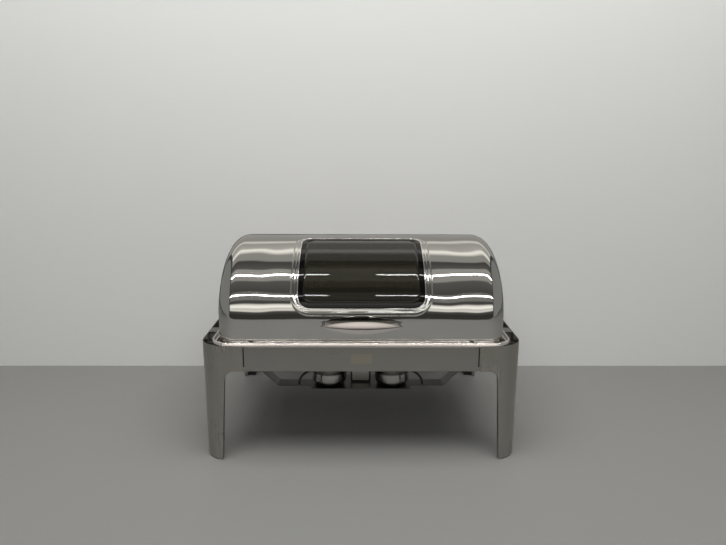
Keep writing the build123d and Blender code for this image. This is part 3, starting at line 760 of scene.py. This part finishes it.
def quarter_columns():
    """Columns of one corner, from the front seam round to the middle of the side.

    Each is (x, y, outward x, outward y, lower height, has a return) with y counted outward.
    """
    half_y = (FRAME_BACK - FRONT) / 2
    columns = []
    front_edge = leg_edge(FRAME_HALF_X)
    for x in spaced(SEAM_OUTER, front_edge[0][0], 7 * MM):
        columns.append((x, half_y, 0.0, 1.0, ARCH_TOP, True))
    for along, z in front_edge:
        x, y, nx, ny = on_plan(along, FRAME_HALF_X, half_y)
        columns.append((x, y, nx, ny, z, True))
    last_front = atan2(columns[-1][2], columns[-1][3])
    side_edge = leg_edge(half_y)
    side = []
    for along, z in side_edge:
        y, x, ny, nx = on_plan(along, half_y, FRAME_HALF_X)
        side.append((x, y, nx, ny, z, True))
    first_side = atan2(side[-1][2], side[-1][3])
    centre_x = FRAME_HALF_X - CORNER_RADIUS
    centre_y = half_y - CORNER_RADIUS
    for step in range(1, 16):
        angle = last_front + (first_side - last_front) * step / 16
        nx = sin(angle)
        ny = cos(angle)
        columns.append((centre_x + CORNER_RADIUS * nx, centre_y + CORNER_RADIUS * ny, nx, ny, SOLE, False))
    columns += reversed(side)
    for y in spaced(side_edge[0][0], 0, 12 * MM)[1:]:
        columns.append((FRAME_HALF_X, y, 1.0, 0.0, ARCH_TOP, True))
    return columns


def make_end_panel(side, name):
    """One end of the frame with its legs, arches and inward returns."""
    quarter = quarter_columns()
    front = [(x, -y, nx, -ny, z, r) for x, y, nx, ny, z, r in quarter]
    middle = [(FRAME_HALF_X, 0.0, 1.0, 0.0, ARCH_TOP, True)]
    rear = [(x, y, nx, ny, z, r) for x, y, nx, ny, z, r in reversed(quarter)]
    columns = front + middle + rear
    shares = [0, 0.02, 0.25, 0.5, 0.75, 1.0]
    vertices = []
    for x, y, nx, ny, low, has_return in columns:
        depth = RETURN if has_return else 1.3 * MM
        strip = [(low, depth), (low, depth / 2)]
        strip += [(low + (FRAME_TOP - low) * share, 0.0) for share in shares]
        for z, inward in strip:
            point = Vector((side * (x - nx * inward), FRAME_MID_Y + y - ny * inward, z))
            vertices.append(point)
    rows = len(shares) + 2
    faces = grid_faces(len(columns), rows)
    piece = new_piece(
        f"leg_panel_{name}", vertices, faces, "frame", SATIN, [f"end_panel_{name}"], 40
    )
    turn_faces(piece, outward)
    add_thickness(piece, PANEL_SKIN, even=False)


def make_skirt(end, name):
    """A skirt panel with rolled bends into its top and bottom flanges."""
    bend = SKIRT_BEND
    top = FRAME_TOP
    face = FRONT if end < 0 else FRAME_BACK
    profile = [(22 * MM, top), (12 * MM, top)]
    profile += arc((bend, top - bend), bend, 90, 180, 5)
    for share in (0.2, 0.4, 0.6, 0.8):
        profile.append((0.0, top - bend + (ARCH_TOP - top + 2 * bend) * share))
    profile += arc((bend, ARCH_TOP + bend), bend, 180, 270, 5)
    profile += [(8 * MM, ARCH_TOP), (14 * MM, ARCH_TOP)]
    xs = spaced(-SEAM_INNER, SEAM_INNER, SKIRT_PITCH) + [SEAM_INNER]
    vertices = [Vector((x, face - end * inward, z)) for x in xs for inward, z in profile]
    faces = grid_faces(len(xs), len(profile))
    piece = new_piece(
        f"skirt_panel_{name}", vertices, faces, "frame", SKIRT, [f"skirt_{name}"], 40
    )
    turn_faces(piece, outward)
    add_thickness(piece, SKIRT_SKIN)
    # The tabs carry painted shade: near-black steel where the seam gaps fall in shade.
    for side in (-1, 1):
        x = sorted((side * TAB_INNER, side * TAB_OUTER))
        y = sorted(face - end * depth for depth in TAB_DEPTHS)
        end_name = "left" if side < 0 else "right"
        make_plate(f"tab_{name}_{end_name}", x, y, TAB_LEVELS, TAB_PAINTED_SHADE)


def make_plate(name, x, y, z, material):
    """A small plate of the frame with rounded edges."""
    mesh = bpy.data.meshes.new(name)
    bm = bmesh.new()
    bmesh.ops.create_cube(bm, size=1.0)
    for vertex in bm.verts:
        vertex.co = Vector(
            (
                x[0] + (vertex.co.x + 0.5) * (x[1] - x[0]),
                y[0] + (vertex.co.y + 0.5) * (y[1] - y[0]),
                z[0] + (vertex.co.z + 0.5) * (z[1] - z[0]),
            )
        )
    bmesh.ops.bevel(bm, geom=bm.edges, offset=PLATE_BEVEL, segments=2, affect="EDGES", profile=0.5)
    bm.to_mesh(mesh)
    bm.free()
    piece = bpy.data.objects.new(name, mesh)
    bpy.context.scene.collection.objects.link(piece)
    mesh.materials.append(material)
    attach(piece, "frame")


def front_loops(low, high, corner, y, section):
    """Loops round the front outline of a box, one for each (inset, depth) of a section, in mm."""
    middle_x = (low.x + high.x) / 2
    middle_z = (low.z + high.z) / 2
    half_x = (high.x - low.x) / 2
    half_z = (high.z - low.z) / 2
    loops = []
    for inset, depth in section:
        outline = rounded_loop(half_x - inset * MM, half_z - inset * MM, (corner - inset) * MM, 6, 1)
        loops.append([Vector((middle_x + x, y + depth * MM, middle_z + z)) for x, z in outline])
    return loops


def make_badge():
    """A blank nameplate: a raised border round a plain field."""
    low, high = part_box("badge")
    section = [(0.0, 0.0), (0.0, -0.4), (0.25, -0.6), (1.0, -0.6), (1.3, -0.32)]
    loops = front_loops(low, high, 2.4, FRONT, section)
    vertices, faces = loft(loops)
    count = len(loops[0])
    faces.append(tuple(range(len(vertices) - count, len(vertices))))
    new_piece("nameplate", vertices, faces, "frame", BADGE, ["badge"], 30)


# ======== pans
def make_pan(name, node, inner_half):
    """A drawn pan: turned-down hem, flat rim, tapered walls and a softly rounded floor."""
    low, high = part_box(node)
    middle_y = (low.y + high.y) / 2
    half_x = (high.x - low.x) / 2
    half_y = (high.y - low.y) / 2
    in_x, in_y = inner_half
    section = [(half_x - 0.1 * MM, half_y - 0.1 * MM, PAN_CORNER, high.z - 0.9 * MM)]
    section.append((half_x, half_y, PAN_CORNER, high.z - 0.5 * MM))
    section.append((half_x - 0.6 * MM, half_y - 0.6 * MM, PAN_CORNER, high.z))
    section.append((in_x + 5 * MM, in_y + 5 * MM, PAN_CORNER + 4 * MM, high.z))
    for out, z in arc((PAN_LIP, high.z - PAN_LIP), PAN_LIP, 90, 180, 5):
        section.append((in_x + out, in_y + out, PAN_CORNER, z))
    floor = low.z + PAN_SHEET
    for out, z in arc((-PAN_BEND, floor + PAN_BEND), PAN_BEND, 0, -90, 8):
        section.append((in_x + out - 1 * MM, in_y + out - 1 * MM, PAN_CORNER + out, z))
    for share in (0.8, 0.5, 0.2, 0.02):
        z = floor - PAN_DISH * (1 - share)
        section.append(((in_x - 15 * MM) * share, (in_y - 15 * MM) * share, 4 * MM * share, z))
    loops = []
    for hx, hy, radius, z in section:
        outline = rounded_loop(hx, hy, min(radius, hx * 0.98, hy * 0.98), 10, 4)
        loops.append([Vector((x, middle_y + y, z)) for x, y in outline])
    vertices, faces = loft(loops)
    count = len(loops[0])
    faces.append(tuple(range(len(vertices) - count, len(vertices))))
    piece = new_piece(name, vertices, faces, node, PAN, [node])
    turn_faces(piece, lambda face: face.normal.z)
    add_thickness(piece, PAN_SHEET * 0.6, even=False)


# ======== burners
def make_burner(side, name):
    """One fuel cup with its turning cover and the cover's curved handle."""
    low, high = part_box(f"burner_cup_{name}")
    x = (low.x + high.x) / 2
    y = (low.y + high.y) / 2
    radius = (high.x - low.x) / 2
    outer = radius + COVER_GAP + COVER_WALL
    make_cup(name, x, y, radius, low.z, high.z)
    make_cover(name, x, y, radius + COVER_GAP, outer)
    make_cover_handle(side, name, x, y, outer)


def make_cup(name, x, y, radius, floor, top):
    """The fuel cup: a recessed base, a round bend and a rolled mouth."""
    bend = arc((radius - CUP_ROUND, floor + CUP_ROUND), CUP_ROUND, -90, 0, 10)
    profile = [(0.0, floor + CUP_DIMPLE), (16 * MM, floor + CUP_DIMPLE), (18 * MM, floor)]
    profile += bend
    profile += [(radius, top - CUP_WALL), (radius - 0.4 * MM, top), (radius - 1.1 * MM, top)]
    profile += [(radius - CUP_WALL, top - 1.0 * MM)]
    profile += reversed([(r - CUP_WALL, z + CUP_WALL) for r, z in bend])
    profile += [(0.0, floor + CUP_DIMPLE + CUP_WALL)]
    vertices, faces = revolve(profile, (x, y, 0), "Z", CUP_STEPS)
    body = f"burner_{name}"
    new_piece(f"cup_{name}", vertices, faces, body, BURNER, [f"burner_cup_{name}"], 45)


def make_cover(name, x, y, inner, outer):
    """The cover: a shallow cap with an off-centre flame hole."""
    low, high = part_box(f"burner_cover_{name}")
    edge = outer - COVER_ROUND
    under = high.z - COVER_WALL
    hole_y = y + FLAME_OFFSET
    skirt = [(inner, low.z), (outer - 0.3 * MM, low.z), (outer, low.z + 0.4 * MM), (outer, high.z - 2.2 * MM)]
    skirt += arc((edge, high.z - COVER_ROUND), COVER_ROUND, 20, 90, 4)
    # Each row is (radius, height, how far it has closed in on the flame hole).
    rows = [(r, z, 0.0) for r, z in skirt]
    rows += [(edge, high.z, share) for share in (0.35, 0.7, 0.93)]
    rows += [(edge, high.z - 0.2 * MM, 1.0), (edge, under, 1.0), (inner, under, 0.0)]
    vertices = []
    for r, z, share in rows:
        for step in range(CUP_STEPS):
            angle = 2 * pi * step / CUP_STEPS
            out_x = x + r * cos(angle)
            out_y = y + r * sin(angle)
            in_x = x + FLAME_HOLE * cos(angle)
            in_y = hole_y + FLAME_HOLE * sin(angle)
            vertices.append(Vector((out_x + (in_x - out_x) * share, out_y + (in_y - out_y) * share, z)))
    faces = grid_faces(len(rows), CUP_STEPS, True, True)
    body = f"cover_{name}"
    new_piece(f"cover_{name}", vertices, faces, body, BURNER, [f"burner_cover_{name}"], 45)


def make_cover_handle(side, name, x, y, outer):
    """The black handle: a flattened, tapering rod that curves out and down, turned to the front."""
    low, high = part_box(f"cover_handle_{name}")
    start = Vector((outer - 0.5 * MM, high.z - 3.6 * MM))
    end = Vector((GRIP_REACH - GRIP_RADIUS, low.z + GRIP_RADIUS))
    knee = Vector((end.x - 1 * MM, start.y + 3 * MM))
    turn = radians(GRIP_TURN)
    loops = []
    steps = 28
    for step in range(steps + 1):
        t = step / steps
        point = start * (1 - t) ** 2 + knee * 2 * t * (1 - t) + end * t * t
        tangent = ((knee - start) * (1 - t) + (end - knee) * t).normalized()
        across = Vector((-tangent.y, tangent.x))
        size = 3.4 - 0.5 * sin(pi * t)
        if t > 1 - GRIP_END:
            size *= sqrt(max(0.02, 1 - ((t - 1) / GRIP_END + 1) ** 2))
        if t < GRIP_END:
            size += 0.1
        loop = []
        for k in range(20):
            angle = 2 * pi * k / 20
            u = size * MM * GRIP_FLATNESS * cos(angle)
            v = size * MM * sin(angle)
            out = point.x + across.x * u
            ahead = -out * sin(turn) + v * cos(turn)
            aside = out * cos(turn) + v * sin(turn)
            loop.append(Vector((x + side * aside, y + ahead, point.y + across.y * u)))
        loops.append(loop)
    vertices, faces = loft(loops)
    faces.append(tuple(range(20)))
    faces.append(tuple(range(len(vertices) - 20, len(vertices))))
    new_piece(
        f"grip_{name}", vertices, faces, f"cover_{name}", BLACK, [f"cover_handle_{name}"]
    )


def make_centre_plate():
    """The framed plate between the burners: a dark moulded frame round a brushed field."""
    low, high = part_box("centre_plate")
    field_y = low.y + 2 * MM
    section = [(0, 2.0), (0, 0.5), (0.5, 0.0), (3.5, 0.0), (4, 0.5), (4, 2.0)]
    vertices, faces = loft(front_loops(low, high, 5, low.y, section), True)
    new_piece("plate_frame", vertices, faces, "frame", BLACK, ["centre_plate"], 30)
    x = (low.x + 0.6 * MM, high.x - 0.6 * MM)
    z = (low.z, high.z - 0.6 * MM)
    make_plate("plate_field", x, (field_y, field_y + 2 * MM), z, SKIRT)
    make_plate("plate_foot", x, (field_y, high.y), (low.z, low.z + 2 * MM), SKIRT)


def make_burner_bar():
    """The bent strap with rounded bends."""
    low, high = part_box("burner_bar")
    outer = high.x
    slope = atan2(BAR_KNEE - low.z, outer - BAR_FLAT)
    bend = BAR_BEND
    cut_low = bend * sin(slope / 2) / cos(slope / 2)
    turn = pi / 2 - slope
    cut_high = bend * sin(turn / 2) / cos(turn / 2)
    half = [(0.0, low.z), (BAR_FLAT - cut_low, low.z)]
    half += arc((BAR_FLAT - cut_low, low.z + bend), bend, -90, -90 + degrees(slope), 7)[1:]
    half += arc((outer - bend, BAR_KNEE + cut_high), bend, -90 + degrees(slope), 0, 7)
    half.append((outer, high.z))
    path = [(-x, z) for x, z in reversed(half[1:])] + half
    ys = [low.y, low.y + 1 * MM, (low.y + high.y) / 2, high.y - 1 * MM, high.y]
    vertices = [Vector((x, yy, z)) for x, z in path for yy in ys]
    faces = grid_faces(len(path), len(ys))
    # The strap's steel carries painted shade.
    piece = new_piece("burner_strap", vertices, faces, "frame", BAR_PAINTED_SHADE, ["burner_bar"], 30)
    turn_faces(piece, lambda face: -face.normal.z)
    add_thickness(piece, BAR_THICKNESS)
    add_bevel(piece, 0.4 * MM, 50)


# ======== CAD nodes that stay
def finish_cad_nodes():
    """Gives each carried-over node its material and slightly rounded edges."""
    finishes = {
        "foot_pad": (BLACK, 0.8),
        "skirt_nuts": (BRIGHT, 0.4),
        "surround_bracket": (MILL, 0.3),
        "lid_bumper": (RUBBER, 0.3),
        "handle_screws": (BRIGHT, 0.4),
        "lid_ear": (MILL, 0.3),
        "ear_rivets": (BRIGHT, 0.5),
        "pivot_bush": (NYLON, 0.3),
        "pivot_pin": (BRIGHT, 0.3),
        "pivot_bracket": (MILL, 0.4),
        "pivot_nut": (BRIGHT, 0.5),
        "lid_stop": (RUBBER, 0.4),
        "cradle": (MILL, 0.4),
        # The platform's steel carries painted shade.
        "burner_platform": (BAR_PAINTED_SHADE, 0.4),
        "burner_shutter": (BURNER, 0.2),
        "bar_screws": (BRIGHT, 0.5),
    }
    for name, node in nodes.items():
        for prefix, (material, bevel) in finishes.items():
            if name.startswith(prefix):
                node.data.materials.clear()
                node.data.materials.append(material)
                add_bevel(node, bevel * MM, 40)


# ======== build
make_lid_skin()
make_window()
make_handle()
make_surround()
for side, name in ((-1, "left"), (1, "right")):
    make_end_panel(side, name)
    make_burner(side, name)
make_skirt(-1, "front")
make_skirt(1, "rear")
make_badge()
make_pan("water_pan_skin", "water_pan", WATER_PAN_HALF)
make_pan("food_pan_skin", "food_pan", FOOD_PAN_HALF)
make_burner_bar()
make_centre_plate()
finish_cad_nodes()


# ======== stage, lights and camera
def make_plane(name, centre, size, rotation, material):
    """A flat staged rectangle."""
    bpy.ops.mesh.primitive_plane_add(size=1, location=centre, rotation=rotation)
    plane = bpy.context.object
    plane.name = name
    plane.scale = (size[0], size[1], 1)
    plane.data.materials.append(material)
    return plane


def plain_surface(name, color, roughness, one_sided=False):
    """A plain studio surface; a one-sided one can't be seen from behind."""
    material, shader = start_material(name, color, 0.0, roughness)
    if one_sided:
        add, links = node_maker(material)
        clear = add("ShaderNodeBsdfTransparent")
        side = add("ShaderNodeNewGeometry")
        mix = add("ShaderNodeMixShader")
        output = material.node_tree.nodes["Material Output"]
        links.new(side.outputs["Backfacing"], mix.inputs[0])
        links.new(shader.outputs["BSDF"], mix.inputs[1])
        links.new(clear.outputs["BSDF"], mix.inputs[2])
        links.new(mix.outputs["Shader"], output.inputs["Surface"])
    return material


# The room's ceiling as a mirror sees it: (angle above the front horizon, brightness).
CEILING = [
    (0, 0.05), (7, 0.11), (9.5, 1.1), (14, 0.86), (18, 1.6), (22.5, 0.95), (25, 0.09), (30, 0.09),
    (31.5, 0.26), (46, 0.26), (48, 0.09), (68, 0.14), (70, 0.40), (91, 0.46), (93, 0.14), (105, 0.08),
    (107.5, 0.39), (118, 0.40), (122, 1.1), (125, 1.4), (129, 0.6), (140, 0.45), (146, 0.95), (151, 0.36),
]
TUBES = [(41.0, 0.7), (80.5, 0.8)]
TUBE_GLOW = 24.0
TUBE_GAP = (-0.049, 0.034)
CEILING_HALF = 0.60
CEILING_EDGE = 0.06
CEILING_TINT = (1.0, 0.97, 0.91)
RAMP_SCALE = 2.0
SIDE_LIGHT = (0.27, 0.27, 0.26)
EDGE_LIGHT = (0.07, 0.07, 0.07)
SKY_FILL = 0.22
BACKDROP = (0.50, 0.50, 0.49)
CAMERA_X = -10.5 * MM
CAMERA_DISTANCE = 1.111
CAMERA_HEIGHT = 0.6533
CAMERA_PITCH = 12.61
CAMERA_YAW = 0.66
CAMERA_ROLL = 0.25
CAMERA_SENSOR = 36
CAMERA_LENS = 28.84
TABLE_EDGE = -1.75
ROOM_BACK = 6
ROOM_WIDTH = 12
WALL_GAP = 39 * MM
WALL_HEIGHT = 3
WARM = (1.0, 0.99, 0.97)
NEUTRAL = (1.0, 1.0, 1.0)


def make_world():
    """A plain studio: mirrors see a ceiling with soft bands and two rows of tubes, the rest plain light."""
    world = bpy.data.worlds.new("studio")
    bpy.context.scene.world = world
    world.use_nodes = True
    world.node_tree.nodes.clear()
    add, links = node_maker(world)

    def math(operation, first, second=0.0, third=0.0):
        node = add("ShaderNodeMath", operation=operation)
        for socket, value in zip(node.inputs, (first, second, third)):
            if isinstance(value, (int, float)):
                socket.default_value = value
            else:
                links.new(value, socket)
        return node.outputs[0]

    def mixed(share, first, second):
        node = add("ShaderNodeMix", data_type="RGBA")
        links.new(share, node.inputs["Factor"])
        for name, value in (("A", first), ("B", second)):
            if isinstance(value, tuple):
                node.inputs[name].default_value = (*value, 1)
            else:
                links.new(value, node.inputs[name])
        return node.outputs["Result"]

    place = add("ShaderNodeTexCoord")
    split = add("ShaderNodeSeparateXYZ")
    links.new(place.outputs["Generated"], split.inputs[0])
    x, y, z = split.outputs
    angle = math("MULTIPLY", math("ARCTAN2", z, math("MULTIPLY", y, -1)), 180 / pi)
    ramp = add("ShaderNodeValToRGB")
    links.new(math("DIVIDE", angle, 180), ramp.inputs["Fac"])
    while len(ramp.color_ramp.elements) < len(CEILING):
        ramp.color_ramp.elements.new(1.0)
    for element, (degree, bright) in zip(ramp.color_ramp.elements, CEILING):
        element.position = degree / 180
        element.color = (*[part * bright / RAMP_SCALE for part in CEILING_TINT], 1)
    rescaled = add("ShaderNodeVectorMath", operation="SCALE")
    links.new(ramp.outputs["Color"], rescaled.inputs[0])
    rescaled.inputs["Scale"].default_value = RAMP_SCALE
    tubes = 0.0
    for degree, half_width in TUBES:
        tubes = math("ADD", math("COMPARE", angle, degree, half_width), tubes)
    gap = math("MULTIPLY", math("GREATER_THAN", x, TUBE_GAP[0]), math("LESS_THAN", x, TUBE_GAP[1]))
    tubes = math("MULTIPLY", math("MULTIPLY", tubes, math("SUBTRACT", 1.0, gap)), TUBE_GLOW)
    ceiling = add("ShaderNodeVectorMath", operation="ADD")
    links.new(rescaled.outputs["Vector"], ceiling.inputs[0])
    links.new(tubes, ceiling.inputs[1])
    beyond = math("GREATER_THAN", math("ABSOLUTE", x), CEILING_HALF)
    edge = math("COMPARE", math("ABSOLUTE", x), CEILING_HALF, CEILING_EDGE)
    side = mixed(edge, SIDE_LIGHT, EDGE_LIGHT)
    mirrored = mixed(beyond, ceiling.outputs["Vector"], side)
    soft = add("ShaderNodeMapRange", {"To Max": SKY_FILL})
    links.new(z, soft.inputs["Value"])
    ray = add("ShaderNodeLightPath")
    seen = mixed(ray.outputs["Is Glossy Ray"], soft.outputs["Result"], mirrored)
    seen = mixed(ray.outputs["Is Camera Ray"], seen, BACKDROP)
    background = add("ShaderNodeBackground")
    links.new(seen, background.inputs["Color"])
    output = add("ShaderNodeOutputWorld")
    links.new(background.outputs[0], output.inputs["Surface"])


def add_area(name, location, target, size, power, color):
    """A soft rectangular lamp that points at a target."""
    lamp = bpy.data.lights.new(name, "AREA")
    lamp.shape = "RECTANGLE"
    lamp.size = size[0]
    lamp.size_y = size[1]
    lamp.energy = power
    lamp.color = color
    holder = bpy.data.objects.new(name, lamp)
    holder.location = location
    direction = Vector(target) - Vector(location)
    holder.rotation_euler = direction.to_track_quat("-Z", "Y").to_euler()
    holder.visible_glossy = False
    bpy.context.scene.collection.objects.link(holder)


def make_camera():
    """The camera, a little left of the middle and looking slightly down."""
    place = Vector((CAMERA_X, FRONT - CAMERA_DISTANCE, CAMERA_HEIGHT))
    pitch = radians(CAMERA_PITCH)
    yaw = radians(CAMERA_YAW)
    roll = radians(CAMERA_ROLL)
    forward = Vector((sin(yaw) * cos(pitch), cos(yaw) * cos(pitch), -sin(pitch)))
    right = Vector((cos(yaw), -sin(yaw), 0))
    up = right.cross(forward)
    tilted_right = right * cos(roll) + up * sin(roll)
    tilted_up = up * cos(roll) - right * sin(roll)
    rotation = Matrix((tilted_right, tilted_up, -forward)).transposed()
    data = bpy.data.cameras.new("camera")
    data.sensor_width = CAMERA_SENSOR
    data.lens = CAMERA_LENS
    data.clip_start = 0.05
    camera = bpy.data.objects.new("camera", data)
    camera.matrix_world = Matrix.Translation(place) @ rotation.to_4x4()
    bpy.context.scene.collection.objects.link(camera)
    bpy.context.scene.camera = camera


FLOOR = plain_surface("studio_floor", (0.235, 0.235, 0.228), 0.6)
WALL = plain_surface("studio_wall", (0.83, 0.835, 0.825), 0.9, one_sided=True)
floor_size = (ROOM_WIDTH, ROOM_BACK - TABLE_EDGE)
make_plane("floor", (0, (TABLE_EDGE + ROOM_BACK) / 2, 0), floor_size, (0, 0, 0), FLOOR)
far_floor = make_plane("far_floor", (0, TABLE_EDGE - 3, 0), (ROOM_WIDTH, 6), (0, 0, 0), FLOOR)
far_floor.visible_glossy = False
wall_place = (0, FRAME_BACK + WALL_GAP, WALL_HEIGHT / 2)
wall = make_plane("wall", wall_place, (ROOM_WIDTH, WALL_HEIGHT), (radians(90), 0, 0), WALL)
wall.visible_glossy = False
wall.visible_diffuse = False
make_world()
add_area("overhead", (0, -0.75, 2.7), (0, -0.55, 0), (3.0, 1.8), 78, WARM)
add_area("key", (0, -2.4, 2.2), (0, 0.2, 0.6), (2.6, 0.8), 9, WARM)
add_area("wall_washer", (0, -0.7, 1.9), (0, 0.29, 0.6), (3.0, 0.3), 5, NEUTRAL)
make_camera()
bpy.context.scene.view_settings.view_transform = "Standard"
